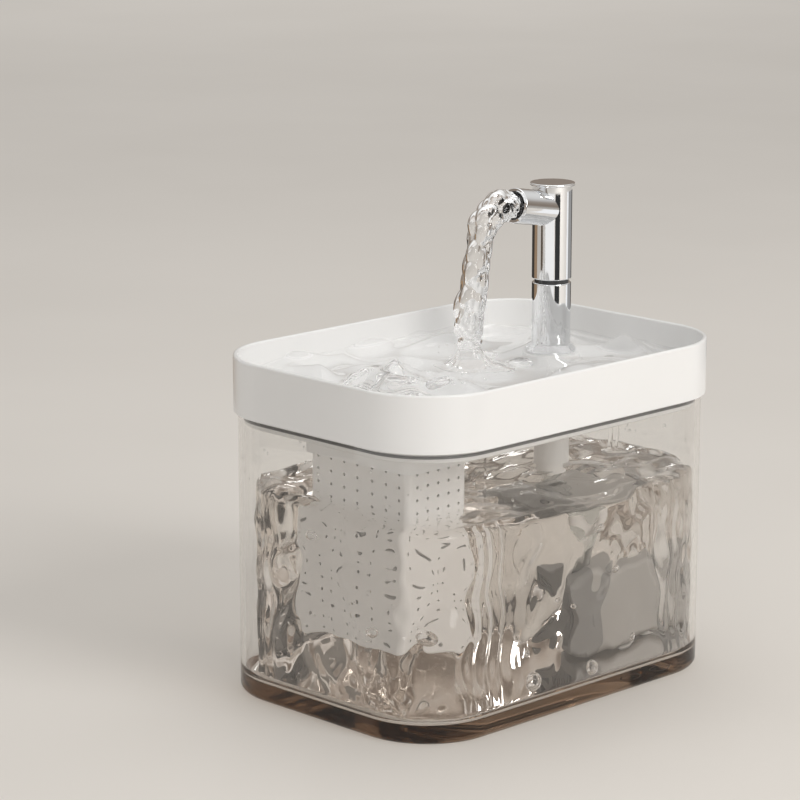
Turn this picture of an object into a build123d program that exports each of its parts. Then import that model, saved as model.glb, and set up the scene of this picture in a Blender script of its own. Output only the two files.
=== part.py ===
"""Pet water fountain: clear tank, white drinking tray, filter box and swivel faucet.

Millimetres. The origin is the centre of the tank's underside, +Z is up, the long side
runs along Y, and the faucet stands at the +Y end with its spout towards -Y.
"""
import math
import os

from build123d import *

os.makedirs("parts", exist_ok=True)

# --- clear tank ---------------------------------------------------------------------
tank_width = 132.2
tank_length = 187.2
tank_height = 130.0
tank_corner = 33.5
tank_wall = 2.2
tank_base = 7.0
tank_foot_round = 3.0
tank_floor_round = 5.0
tank_rim_round = 0.7

# --- power lead inlet in the rear wall ----------------------------------------------
inlet_drop = 19.5
notch_width = 9.0
lead_bore = 4.2
grommet_lip = 1.4
grommet_lip_thickness = 1.0
grommet_clearance = 0.4

# --- drinking tray ------------------------------------------------------------------
skirt_wall = 1.3
skirt_gap = 0.6
skirt_overlap = 8.0
rim_wall = 2.0
rim_round = 0.9
freeboard = 14.0
ledge_thickness = 2.0
ledge_round = 1.2
basin_gap = 0.5
basin_wall = 1.9
basin_depth = 12.6
basin_floor = 2.2
basin_round = 4.0
basin_foot_round = 1.2
return_hole = 5.0
return_hole_x = 12.0
return_hole_setback = 17.5

# --- soft ring in a groove round the tray's basin -----------------------------------
tray_seal_height = 1.2
tray_seal_depth = 1.0
tray_seal_drop = 1.5
tray_seal_clearance = 0.3

# --- faucet socket moulded in the tray ----------------------------------------------
faucet_setback = 44.8
pedestal_diameter = 23.0
pedestal_height = 13.6
pedestal_round = 3.0
socket_diameter = 15.4
socket_bore = 12.0
socket_drop = 47.2
socket_stop_bore = 8.0
socket_stop_thickness = 2.0

# --- faucet -------------------------------------------------------------------------
gasket_thickness = 0.8
gasket_diameter = 18.4
sleeve_diameter = 17.0
sleeve_length = 32.6
sleeve_foot_diameter = 19.8
sleeve_foot_thickness = 0.8
sleeve_flare_height = 5.4
faucet_bore = 8.0
spigot_length = 27.8
spigot_end_gap = 0.5
swivel_gap = 1.6
swivel_washer_diameter = 14.8
swivel_washer_play = 0.1
neck_diameter = 11.9
neck_length = 15.6
neck_end_gap = 0.3
swivel_half_turn = 90.0
stop_lug_half_angle = 8.0
stop_lug_height = 1.4
stop_lug_reach = 1.0
stop_play = 0.3
running_clearance = 0.05
head_diameter = 17.1
head_length = 40.8
head_chamber = 10.4
edge_round = 0.5
cap_diameter = 19.5
cap_thickness = 1.2
cap_round = 0.4
cap_plug_length = 4.0
spout_diameter = 15.2
spout_bore = 12.4
spout_reach = 24.6
spout_rise = 30.2
spout_tilt = 10.0
spout_lip_round = 0.4
liner_wall = 0.8
liner_length = 9.0
liner_inset = 1.0
ring_groove_depth = 0.85
ring_groove_width = 1.8
ring_width = 1.7
ring_round = 0.3
neck_ring_heights = (4.6, 9.8)
spigot_ring_depths = (6.0, 20.0)

# --- filter box, its cartridge and the grille over it -------------------------------
filter_setback = 43.95
box_width = 57.6
box_depth = 35.2
box_height = 87.6
box_wall = 1.5
box_corner = 3.0
box_edge_round = 0.8
box_flange = 1.6
box_flange_overhang = 2.4
well_clearance = 0.4
collar_wall = 2.3
collar_drop = 11.2
pocket_clearance = 0.3
pocket_wall = 1.8
pocket_floor_thickness = 2.0
hole_diameter = 1.4
hole_column_pitch = 7.85
hole_end_column_pitch = 6.1
hole_row_pitch = 5.5
hole_columns = 7
hole_end_columns = 5
first_row_height = 3.3
grille_thickness = 1.8
grille_round = 0.4
grille_slot_width = 2.2
grille_slot_length = 23.0
grille_slot_pitch = 4.6
grille_slot_rows = 7
grille_bridge = 4.0
cartridge_clearance = 0.4
cartridge_wall = 1.0
cartridge_floor = 1.2
cartridge_height = 72.0
cartridge_window_width = 8.0
cartridge_window_height = 24.0
cartridge_window_gap = 4.0
cartridge_slot_width = 2.2
cartridge_slot_pitch = 6.6
cartridge_slot_rows = 4
media_clearance = 0.1
foam_thickness = 8.0
resin_thickness = 16.0
carbon_thickness = 26.0
cotton_thickness = 18.0

# --- submersible pump ---------------------------------------------------------------
pump_width = 38.0
pump_height = 32.0
pump_corner = 4.0
pump_edge_round = 1.0
housing_length = 32.0
housing_wall = 1.8
housing_base = 2.6
rotor_well_diameter = 16.0
rotor_well_depth = 22.0
rotor_well_wall = 1.0
rotor_well_end = 3.0
nozzle_setback = 0.5
volute_length = 9.5
volute_rebate = 3.5
chamber_diameter = 22.0
chamber_depth = 8.0
inlet_diameter = 12.0
spider_arm = 1.6
spider_arms = 3
bush_diameter = 5.0
bush_length = 2.0
nozzle_diameter = 8.0
nozzle_bore = 5.6
nozzle_height = 12.0
shaft_diameter = 2.0
cover_length = 14.0
cover_wall = 1.5
cover_clearance = 0.2
intake_slot_width = 1.8
intake_slot_height = 20.0
intake_slot_pitch = 3.8
intake_slots = 8
sponge_clearance = 0.3
impeller_diameter = 19.0
impeller_disc = 1.2
impeller_vane_height = 4.0
impeller_vane_thickness = 0.9
impeller_vanes = 6
impeller_play = 0.4
rotor_hub_diameter = 5.0
magnet_diameter = 14.6
magnet_length = 18.0
magnet_start = 1.0
stator_outer_diameter = 27.2
stator_ring_wall = 1.8
stator_length = 12.0
stator_start = 4.0
stator_tooth = 3.6
stator_teeth = 4
coil_width = 7.6
coil_overhang = 2.2
coil_play = 0.2
coil_round = 1.1
board_width = 28.0
board_height = 22.0
board_thickness = 1.6
board_corner = 1.0
board_post_diameter = 3.0
board_post_height = 1.2
board_post_spacing = 20.0
back_cover_thickness = 2.5
gland_diameter = 8.0
gland_length = 4.0
hose_wall = 1.9
hose_top_gap = 0.3
cup_diameter = 12.0
cup_height = 2.5
cup_lip = 0.8
cup_stem_diameter = 3.6
cup_stem_depth = 1.6
cup_spacing_x = 24.0
cup_spacing_y = 19.0

spare = 1.0    # how far a cutting tool runs past the face that it opens
least_corner = 0.2    # the sharpest corner of a nested outline
same_place = 0.01    # how far apart two levels or radii count as equal
sector_steps = 4    # straight steps on each side of a stop sector's middle

# --- levels and stations worked out from the dimensions above -----------------------
tray_inset = skirt_wall + skirt_gap
tray_width = tank_width + 2 * tray_inset
tray_length = tank_length + 2 * tray_inset
tray_corner = tank_corner + tray_inset
basin_inset = tray_inset + tank_wall + basin_gap
inlet_height = tank_height - inlet_drop
band_bottom = tank_height - skirt_overlap
ledge_top = tank_height + ledge_thickness
rim_top = ledge_top + freeboard
floor_top = ledge_top - basin_depth
floor_low = floor_top - basin_floor
tray_seal_top = band_bottom - tray_seal_drop
tray_seal_low = tray_seal_top - tray_seal_height

faucet_y = tank_length / 2 - faucet_setback
pedestal_top = floor_top + pedestal_height
sleeve_bottom = pedestal_top + gasket_thickness
sleeve_top = sleeve_bottom + sleeve_length
spigot_bottom = sleeve_bottom - spigot_length
socket_stop_top = spigot_bottom - spigot_end_gap
socket_stop_low = socket_stop_top - socket_stop_thickness
socket_bottom = floor_low - socket_drop
spigot_radius = socket_bore / 2 - running_clearance
neck_top = sleeve_top + neck_length
neck_radius = neck_diameter / 2
head_bottom = sleeve_top + swivel_gap
head_top = head_bottom + head_length
swivel_bore_radius = neck_radius + running_clearance
stop_lug_radius = neck_radius + stop_lug_reach
stop_track_top = head_bottom + stop_play + stop_lug_height + stop_play

filter_y = filter_setback - tank_length / 2
pocket_low = floor_top - grille_thickness - box_flange
flange_top = pocket_low + box_flange
box_bottom = flange_top - box_height
flange_width = box_width + 2 * box_flange_overhang
flange_depth = box_depth + 2 * box_flange_overhang
flange_corner = box_corner + box_flange_overhang
collar_bottom = floor_low - collar_drop
cartridge_width = box_width - 2 * (box_wall + cartridge_clearance)
cartridge_depth = box_depth - 2 * (box_wall + cartridge_clearance)
cartridge_corner = max(box_corner - box_wall - cartridge_clearance, least_corner)
cartridge_bottom = box_bottom + box_wall

pump_bottom = tank_base + cup_height
pump_axis = pump_bottom + (pump_height + housing_base - housing_wall) / 2
pump_top = pump_bottom + pump_height
volute_front = faucet_y - nozzle_diameter / 2 - nozzle_setback
volute_back = volute_front + volute_length
housing_back = volute_back + housing_length
rebate_front = volute_front - volute_rebate
cover_front = volute_front - cover_length
nozzle_top = pump_top + nozzle_height
well_bottom = volute_back + rotor_well_depth
rotor_well_radius = rotor_well_diameter / 2
chamber_front = volute_back - chamber_depth
well_radius = rotor_well_radius + rotor_well_wall
lid_front = housing_back - back_cover_thickness
board_back = lid_front - board_post_height


# --- shared shapes ------------------------------------------------------------------
def block(width, length, corner, low, high, y=0.0):
    """An upright block with rounded corners, centred on x = 0 at station y."""
    outline = RectangleRounded(width, length, corner)
    return Pos(0, y, low) * extrude(outline, high - low)


def rod(diameter, low, high, x=0.0, y=0.0):
    """An upright cylinder."""
    return Pos(x, y, (low + high) / 2) * Cylinder(diameter / 2, high - low)


def barrel(diameter, near, far, x=0.0, z=0.0):
    """A cylinder along Y, from y = near to y = far."""
    return Pos(x, (near + far) / 2, z) * Rot(90, 0, 0) * Cylinder(diameter / 2, far - near)


def slab(width, near, far, low, high, x=0.0):
    """A plain box between two stations and two levels."""
    place = Pos(x, (near + far) / 2, (low + high) / 2)
    return place * Box(width, far - near, high - low)


def casing(width, height, corner, near, far, z):
    """A block with rounded edges that runs along Y."""
    outline = RectangleRounded(width, height, corner)
    return Pos(0, far, z) * Rot(90, 0, 0) * extrude(outline, far - near)


def edges_at(shape, axis, level):
    """The edges that lie wholly in one plane square to an axis."""
    return shape.edges().filter_by_position(axis, level - same_place, level + same_place)


def round_edges(shape, axis, level, radius):
    return fillet(edges_at(shape, axis, level), radius)


def row(count, pitch):
    """Evenly spaced places, centred on zero."""
    return [(i - (count - 1) / 2) * pitch for i in range(count)]


def seal_ring(outer_radius, groove_radius, centre, y):
    """A rubber ring that fills its groove and stands up to its bore."""
    ring = rod(2 * outer_radius, centre - ring_width / 2, centre + ring_width / 2, y=y)
    ring = fillet(ring.edges().filter_by(GeomType.CIRCLE), ring_round)
    return ring - rod(2 * groove_radius, centre - ring_width, centre + ring_width, y=y)


def ring_groove(outer_radius, centre, y):
    """The cutter for one seal ring's groove."""
    low = centre - ring_groove_width / 2
    high = centre + ring_groove_width / 2
    outside = rod(2 * (outer_radius + spare), low, high, y=y)
    return outside - rod(2 * (outer_radius - ring_groove_depth), low, high, y=y)


# --- tank and the lead inlet --------------------------------------------------------
def notch_block(width, bottom_centre, top, near, far):
    """An upright block with a half-round foot, across the rear wall."""
    foot = barrel(width, near, far, z=bottom_centre)
    return foot + slab(width, near, far, bottom_centre, top)


def make_tank():
    shell = block(tank_width, tank_length, tank_corner, 0, tank_height)
    shell = round_edges(shell, Axis.Z, 0, tank_foot_round)
    hollow = block(tank_width - 2 * tank_wall, tank_length - 2 * tank_wall,
                   tank_corner - tank_wall, tank_base, tank_height + spare)
    hollow = round_edges(hollow, Axis.Z, tank_base, tank_floor_round)
    tank = round_edges(shell - hollow, Axis.Z, tank_height, tank_rim_round)
    wall_outside = tank_length / 2
    notch = notch_block(notch_width, inlet_height, tank_height + spare,
                        wall_outside - tank_wall - spare, wall_outside + spare)
    return tank - notch


def make_cable_grommet():
    outside = tank_length / 2
    inside = outside - tank_wall
    outer_top = band_bottom - grommet_clearance
    inner_top = floor_low - grommet_clearance
    lip_width = notch_width + 2 * grommet_lip
    body = notch_block(notch_width, inlet_height, outer_top, inside, outside)
    outer_lip = notch_block(lip_width, inlet_height, outer_top,
                            outside, outside + grommet_lip_thickness)
    inner_lip = notch_block(lip_width, inlet_height, inner_top,
                            inside - grommet_lip_thickness, inside)
    bore = barrel(lead_bore, inside - 2 * spare, outside + 2 * spare, z=inlet_height)
    return body + outer_lip + inner_lip - bore


# --- drinking tray ------------------------------------------------------------------
def inset_block(inset, low, high):
    """A block that follows the tray's outline at a distance inside it."""
    return block(tray_width - 2 * inset, tray_length - 2 * inset,
                 tray_corner - inset, low, high)


def tray_hollow():
    """The drinking space: wide above the ledge, narrower in the basin."""
    upper = inset_block(rim_wall, ledge_top, rim_top + spare)
    lower = inset_block(basin_inset + basin_wall, floor_top, ledge_top + spare)
    hollow = round_edges(upper + lower, Axis.Z, ledge_top, ledge_round)
    return round_edges(hollow, Axis.Z, floor_top, basin_round)


def basin_ring(outer_inset):
    """A flat ring that reaches out of the bottom of the groove round the basin."""
    ring = inset_block(outer_inset, tray_seal_low, tray_seal_top)
    return ring - inset_block(basin_inset + tray_seal_depth,
                              tray_seal_low - spare, tray_seal_top + spare)


def tray_shell():
    """Outer band over the tank's rim, and the basin that nests inside the tank."""
    hollow = tray_hollow()
    band = inset_block(0, band_bottom, rim_top) - hollow
    band = round_edges(band, Axis.Z, rim_top, rim_round)
    band -= inset_block(skirt_wall, band_bottom - spare, tank_height)
    basin = inset_block(basin_inset, floor_low, ledge_top)
    basin = round_edges(basin, Axis.Z, floor_low, basin_foot_round)
    return band + (basin - hollow - basin_ring(basin_inset - spare))


def filter_well(tray):
    """Add the pocket and the collar that carry the filter box, and open them."""
    pocket_width = flange_width + 2 * pocket_clearance
    pocket_depth = flange_depth + 2 * pocket_clearance
    pocket_corner = flange_corner + pocket_clearance
    surround = block(pocket_width + 2 * pocket_wall, pocket_depth + 2 * pocket_wall,
                     pocket_corner + pocket_wall, pocket_low - pocket_floor_thickness,
                     floor_top, filter_y)
    well_width = box_width + 2 * well_clearance
    well_depth = box_depth + 2 * well_clearance
    well_corner = box_corner + well_clearance
    collar = block(well_width + 2 * collar_wall, well_depth + 2 * collar_wall,
                   well_corner + collar_wall, collar_bottom, pocket_low, filter_y)
    pocket = block(pocket_width, pocket_depth, pocket_corner,
                   pocket_low, floor_top + spare, filter_y)
    well = block(well_width, well_depth, well_corner,
                 collar_bottom - spare, floor_top, filter_y)
    return tray + surround + collar - pocket - well


def faucet_socket(tray):
    """Add the pedestal above the basin floor and the socket tube below it."""
    pedestal = rod(pedestal_diameter, floor_low, pedestal_top, y=faucet_y)
    tray = tray + pedestal
    foot = [edge for edge in edges_at(tray, Axis.Z, floor_top).filter_by(GeomType.CIRCLE)
            if abs(edge.radius - pedestal_diameter / 2) < same_place]
    tray = fillet(foot, pedestal_round)
    tube = rod(socket_diameter, socket_bottom, floor_low, y=faucet_y)
    upper_bore = rod(socket_bore, socket_stop_top, pedestal_top + spare, y=faucet_y)
    lower_bore = rod(socket_bore, socket_bottom - spare, socket_stop_low, y=faucet_y)
    stop_bore = rod(socket_stop_bore, socket_stop_low - spare, socket_stop_top + spare,
                    y=faucet_y)
    return tray + tube - upper_bore - lower_bore - stop_bore


def make_tray():
    tray = faucet_socket(filter_well(tray_shell()))
    hole_y = tank_length / 2 - return_hole_setback
    return tray - rod(return_hole, floor_low - spare, floor_top + spare,
                      return_hole_x, hole_y)


def make_tray_seal():
    return basin_ring(basin_inset - basin_gap + tray_seal_clearance)


# --- filter box ---------------------------------------------------------------------
def box_perforations():
    """Rods through the four walls and the floor, in even rows and columns."""
    top_row = collar_bottom - hole_diameter / 2
    first_row = box_bottom + first_row_height
    rows = int((top_row - first_row) / hole_row_pitch) + 1
    levels = [first_row + i * hole_row_pitch for i in range(rows)]
    columns = row(hole_columns, hole_column_pitch)
    end_columns = row(hole_end_columns, hole_end_column_pitch)
    near = filter_y - box_depth / 2 - spare
    far = filter_y + box_depth / 2 + spare
    along = [barrel(hole_diameter, near, far, x, z) for x in columns for z in levels]
    across = [Pos(0, filter_y + y, z) * Rot(0, 90, 0)
              * Cylinder(hole_diameter / 2, box_width + 2 * spare)
              for y in end_columns for z in levels]
    floor = [rod(hole_diameter, box_bottom - spare, box_bottom + box_wall + spare,
                 x, filter_y + y)
             for x in columns for y in end_columns]
    return along + across + floor


def make_filter_box():
    body = block(box_width, box_depth, box_corner, box_bottom, flange_top, filter_y)
    body = round_edges(body, Axis.Z, box_bottom, box_edge_round)
    flange = block(flange_width, flange_depth, flange_corner,
                   pocket_low, flange_top, filter_y)
    inside = block(box_width - 2 * box_wall, box_depth - 2 * box_wall,
                   box_corner - box_wall, box_bottom + box_wall, flange_top + spare,
                   filter_y)
    return body + flange - inside - box_perforations()


def make_drain_grille():
    plate = block(flange_width, flange_depth, flange_corner,
                  flange_top, floor_top, filter_y)
    plate = round_edges(plate, Axis.Z, floor_top, grille_round)
    slot = SlotOverall(grille_slot_length, grille_slot_width)
    cutter = extrude(slot, grille_thickness + 2 * spare)
    offset = (grille_slot_length + grille_bridge) / 2
    slots = [Pos(x, filter_y + y, flange_top - spare) * cutter
             for x in (-offset, offset)
             for y in row(grille_slot_rows, grille_slot_pitch)]
    return plate - slots


def make_cartridge_case():
    """An open-topped case with windows, which lifts out with the media in it."""
    top = cartridge_bottom + cartridge_height
    case = block(cartridge_width, cartridge_depth, cartridge_corner,
                 cartridge_bottom, top, filter_y)
    inside = block(cartridge_width - 2 * cartridge_wall,
                   cartridge_depth - 2 * cartridge_wall,
                   max(cartridge_corner - cartridge_wall, least_corner),
                   cartridge_bottom + cartridge_floor, top + spare, filter_y)
    pitch = cartridge_window_width + cartridge_window_gap
    count = int((cartridge_width - cartridge_window_gap) / pitch)
    end_count = int((cartridge_depth - cartridge_window_gap) / pitch)
    step = cartridge_window_height + cartridge_window_gap
    centre = (cartridge_bottom + top) / 2
    windows = []
    for level in (centre - step / 2, centre + step / 2):
        low = level - cartridge_window_height / 2
        high = level + cartridge_window_height / 2
        for x in row(count, pitch):
            windows.append(slab(cartridge_window_width, filter_y - box_depth / 2,
                                filter_y + box_depth / 2, low, high, x))
        for y in row(end_count, pitch):
            windows.append(slab(box_width, filter_y + y - cartridge_window_width / 2,
                                filter_y + y + cartridge_window_width / 2, low, high))
    half_slot = cartridge_slot_width / 2
    floor_holes = [slab(cartridge_window_width, filter_y + y - half_slot,
                        filter_y + y + half_slot, cartridge_bottom - spare,
                        cartridge_bottom + cartridge_floor + spare, x)
                   for x in row(count, pitch)
                   for y in row(cartridge_slot_rows, cartridge_slot_pitch)]
    return case - inside - windows - floor_holes


def make_filter_media():
    """The four layers in the cartridge, from the foam at the bottom to the cotton."""
    inset = 2 * (cartridge_wall + media_clearance)
    corner = max(cartridge_corner - cartridge_wall - media_clearance, least_corner)
    layers = {"foam_pad": foam_thickness, "resin_bed": resin_thickness,
              "carbon_bed": carbon_thickness, "cotton_pad": cotton_thickness}
    level = cartridge_bottom + cartridge_floor
    media = {}
    for name, thickness in layers.items():
        media[name] = block(cartridge_width - inset, cartridge_depth - inset, corner,
                            level, level + thickness, filter_y)
        level += thickness
    return media


# --- faucet -------------------------------------------------------------------------
def make_faucet_gasket():
    ring = rod(gasket_diameter, pedestal_top, sleeve_bottom, y=faucet_y)
    return ring - rod(2 * spigot_radius, pedestal_top - spare, sleeve_bottom + spare,
                      y=faucet_y)


def stop_sector(radius, low, high, half_angle):
    """A wedge that opens towards +Y from the faucet's axis."""
    points = [(0, 0)]
    for step in range(-sector_steps, sector_steps + 1):
        angle = math.radians(90 + half_angle * step / sector_steps)
        points.append((2 * radius * math.cos(angle), 2 * radius * math.sin(angle)))
    wedge = Pos(0, faucet_y, low) * extrude(make_face(Polyline(*points, close=True)),
                                            high - low)
    return wedge & rod(2 * radius, low, high, y=faucet_y)


def sleeve_foot():
    """The sleeve's foot: it widens from the tube to its rim in one hollow curve."""
    tube_radius = sleeve_diameter / 2
    rim_radius = sleeve_foot_diameter / 2
    rim_top = sleeve_bottom + sleeve_foot_thickness
    flare_top = rim_top + sleeve_flare_height
    sides = Polyline((tube_radius, flare_top), (0, flare_top), (0, sleeve_bottom),
                     (rim_radius, sleeve_bottom), (rim_radius, rim_top))
    curve = TangentArc((tube_radius, flare_top), (rim_radius, rim_top), tangent=(0, -1))
    profile = make_face(Plane.XZ * (sides + curve))
    return Pos(0, faucet_y, 0) * revolve(profile, Axis.Z)


def make_faucet_sleeve():
    """Lower tube: spigot into the tray, flared foot on it, and the neck the head turns on."""
    tube = rod(sleeve_diameter, sleeve_bottom, sleeve_top, y=faucet_y)
    tube = round_edges(tube, Axis.Z, sleeve_top, edge_round)
    spigot = rod(2 * spigot_radius, spigot_bottom, sleeve_bottom, y=faucet_y)
    neck = rod(neck_diameter, sleeve_top, neck_top, y=faucet_y)
    neck = round_edges(neck, Axis.Z, neck_top, edge_round)
    lug_low = head_bottom + stop_play
    lug = stop_sector(stop_lug_radius, lug_low, lug_low + stop_lug_height,
                      stop_lug_half_angle)
    bore = rod(faucet_bore, spigot_bottom - spare, neck_top + spare, y=faucet_y)
    grooves = [ring_groove(neck_radius, level, faucet_y) for level in neck_ring_levels()]
    grooves += [ring_groove(spigot_radius, level, faucet_y)
                for level in spigot_ring_levels()]
    return tube + sleeve_foot() + spigot + neck + lug - bore - grooves


def neck_ring_levels():
    return [sleeve_top + height for height in neck_ring_heights]


def spigot_ring_levels():
    return [sleeve_bottom - depth for depth in spigot_ring_depths]


def make_swivel_rings():
    groove = neck_radius - ring_groove_depth
    outer = swivel_bore_radius - running_clearance / 2
    return [seal_ring(outer, groove, level, faucet_y) for level in neck_ring_levels()]


def make_spigot_rings():
    groove = spigot_radius - ring_groove_depth
    outer = socket_bore / 2 - running_clearance / 2
    return [seal_ring(outer, groove, level, faucet_y) for level in spigot_ring_levels()]


def make_swivel_washer():
    top = head_bottom - swivel_washer_play
    ring = rod(swivel_washer_diameter, sleeve_top, top, y=faucet_y)
    return ring - rod(neck_diameter, sleeve_top - spare, top + spare, y=faucet_y)


def along_spout(shape):
    """Turn an upright shape on the origin to lie along the spout, away from the axis."""
    start = Pos(0, faucet_y, head_bottom + spout_rise)
    return start * Rot(90 - spout_tilt, 0, 0) * shape


def make_faucet_head():
    """Upper tube with the spout; its skirt's open sector rides round the stop lug."""
    tube = rod(head_diameter, head_bottom, head_top, y=faucet_y)
    tube = round_edges(tube, Axis.Z, head_bottom, edge_round)
    spout = along_spout(rod(spout_diameter, 0, spout_reach))
    head = tube + spout
    mouth_plane = Plane(along_spout(Pos(0, 0, spout_reach)).position,
                        z_dir=spout_direction())
    rim = [edge for edge in head.edges().filter_by(GeomType.CIRCLE)
           if abs((edge.arc_center - mouth_plane.origin).dot(mouth_plane.z_dir)) < same_place]
    head = fillet(rim, spout_lip_round)
    neck_bore = rod(2 * swivel_bore_radius, head_bottom - spare, neck_top + neck_end_gap,
                    y=faucet_y)
    chamber = rod(head_chamber, neck_top, head_top + spare, y=faucet_y)
    bore = along_spout(rod(spout_bore, 0, spout_reach + spare))
    track = stop_sector(stop_lug_radius + stop_play, head_bottom - spare, stop_track_top,
                        swivel_half_turn + stop_lug_half_angle + stop_play_angle())
    return head - neck_bore - chamber - bore - track


def stop_play_angle():
    """The play past the swivel's limit, as an angle at the lug's tip."""
    return math.degrees(stop_play / stop_lug_radius)


def spout_direction():
    tilt = math.radians(spout_tilt)
    return Vector(0, -math.cos(tilt), math.sin(tilt))


def make_spout_liner():
    near = spout_reach - liner_inset - liner_length
    far = spout_reach - liner_inset
    ring = rod(spout_bore, near, far) - rod(spout_bore - 2 * liner_wall, near - spare,
                                            far + spare)
    return along_spout(ring)


def make_faucet_cap():
    disc = rod(cap_diameter, head_top, head_top + cap_thickness, y=faucet_y)
    disc = fillet(disc.edges().filter_by(GeomType.CIRCLE), cap_round)
    plug = rod(head_chamber, head_top - cap_plug_length, head_top, y=faucet_y)
    return disc + plug


# --- pump ---------------------------------------------------------------------------
def pump_block(near, far, inset=0.0):
    """The pump's outline between two stations, drawn in by an inset all round."""
    middle = (pump_bottom + pump_top) / 2
    return casing(pump_width - 2 * inset, pump_height - 2 * inset,
                  max(pump_corner - inset, least_corner), near, far, middle)


def housing_room(near, far):
    """The space inside the housing's walls, which its back cover also fills."""
    height = pump_height - housing_base - housing_wall
    return casing(pump_width - 2 * housing_wall, height,
                  pump_corner - housing_wall, near, far, pump_axis)


def cup_places():
    middle = (volute_back + housing_back) / 2
    return [(x, middle + y) for x in row(2, cup_spacing_x) for y in row(2, cup_spacing_y)]


def make_pump_housing():
    """Box with the rotor well inside it, open at the back."""
    box = pump_block(volute_back, housing_back)
    box -= housing_room(volute_back + housing_wall, housing_back + spare)
    well_end = well_bottom + rotor_well_end
    well = barrel(2 * well_radius, volute_back, well_end, z=pump_axis)
    rotor_room = barrel(rotor_well_diameter, volute_back - spare, well_bottom, z=pump_axis)
    bush_seat = barrel(bush_diameter, well_bottom - spare, well_bottom + bush_length,
                       z=pump_axis)
    sockets = [rod(cup_stem_diameter, pump_bottom - spare, pump_bottom + cup_stem_depth,
                   x, y) for x, y in cup_places()]
    return box + well - rotor_room - bush_seat - sockets


def make_pump_back_cover():
    lid = housing_room(lid_front, housing_back)
    gland = barrel(gland_diameter, housing_back, housing_back + gland_length, z=pump_axis)
    posts = [barrel(board_post_diameter, board_back, lid_front, x, pump_axis)
             for x in row(2, board_post_spacing)]
    lead_way = barrel(lead_bore, board_back, housing_back + gland_length + spare,
                      z=pump_axis)
    return lid + gland + posts - lead_way


def make_driver_board():
    return casing(board_width, board_height, board_corner,
                  board_back - board_thickness, board_back, pump_axis)


def turned(shape, angle):
    """Turn a shape about the pump's axis."""
    return Pos(0, 0, pump_axis) * Rot(0, angle, 0) * shape


def stator_span():
    near = volute_back + stator_start
    return near, near + stator_length


def make_stator_core():
    near, far = stator_span()
    inner = stator_outer_diameter - 2 * stator_ring_wall
    core = barrel(stator_outer_diameter, near, far, z=pump_axis)
    core -= barrel(inner, near - spare, far + spare, z=pump_axis)
    for i in range(stator_teeth):
        tooth = slab(stator_tooth, near, far, 0, inner / 2 + stator_ring_wall / 2)
        core += turned(tooth, 360 * i / stator_teeth)
    return core - barrel(2 * well_radius, near - spare, far + spare, z=pump_axis)


def make_stator_coils():
    near, far = stator_span()
    ring_radius = stator_outer_diameter / 2 - stator_ring_wall - coil_play
    outer = math.sqrt(ring_radius ** 2 - (coil_width / 2) ** 2)
    winding = slab(coil_width, near - coil_overhang, far + coil_overhang,
                   well_radius + coil_play, outer)
    winding = fillet(winding.edges().filter_by(Axis.Z), coil_round)
    tooth = slab(stator_tooth, near, far, 0, ring_radius)
    return [turned(winding - tooth, 360 * i / stator_teeth) for i in range(stator_teeth)]


def make_volute_casing():
    """Impeller chamber with the inlet in front and the outlet nozzle on top."""
    body = pump_block(volute_front, volute_back)
    rebate = pump_block(rebate_front, volute_front, cover_wall + cover_clearance)
    nozzle = rod(nozzle_diameter, pump_axis, nozzle_top, y=faucet_y)
    chamber = barrel(chamber_diameter, chamber_front, volute_back + spare, z=pump_axis)
    outlet = rod(nozzle_bore, pump_axis, nozzle_top + spare, y=faucet_y)
    inlet = barrel(inlet_diameter, rebate_front - spare, chamber_front + spare,
                   z=pump_axis)
    volute = body + rebate + nozzle - chamber - outlet - inlet
    bush_holder = bush_diameter + 2 * spider_arm
    hub = barrel(bush_holder, rebate_front, chamber_front, z=pump_axis)
    for i in range(spider_arms):
        arm = slab(spider_arm, rebate_front, chamber_front, 0, inlet_diameter / 2 + spare)
        hub += turned(arm, 360 * i / spider_arms)
    bush_seat = barrel(bush_diameter, chamber_front - bush_length, chamber_front + spare,
                       z=pump_axis)
    return volute + hub - bush_seat


def make_shaft_bushes():
    places = (chamber_front - bush_length, well_bottom)
    return [barrel(bush_diameter, y, y + bush_length, z=pump_axis)
            - barrel(shaft_diameter, y - spare, y + bush_length + spare, z=pump_axis)
            for y in places]


def make_impeller_shaft():
    return barrel(shaft_diameter, chamber_front - bush_length,
                  well_bottom + bush_length, z=pump_axis)


def make_impeller():
    """Vanes on a disc, with the long hub that runs through the magnet."""
    front = chamber_front + impeller_play
    disc_front = front + impeller_vane_height
    wheel = barrel(impeller_diameter, disc_front, disc_front + impeller_disc, z=pump_axis)
    wheel += barrel(rotor_hub_diameter, front, well_bottom - impeller_play, z=pump_axis)
    tip = impeller_diameter / 2
    for i in range(impeller_vanes):
        vane = slab(impeller_vane_thickness, front, disc_front, 0, tip)
        wheel += turned(Pos(rotor_hub_diameter / 4, 0, 0) * vane,
                        360 * i / impeller_vanes)
    rim = barrel(impeller_diameter, front, well_bottom, z=pump_axis)
    bore = barrel(shaft_diameter + 2 * running_clearance, front - spare,
                  well_bottom + spare, z=pump_axis)
    return (wheel & rim) - bore


def make_rotor_magnet():
    near = volute_back + magnet_start
    ring = barrel(magnet_diameter, near, near + magnet_length, z=pump_axis)
    return ring - barrel(rotor_hub_diameter, near - spare, near + magnet_length + spare,
                         z=pump_axis)


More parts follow.
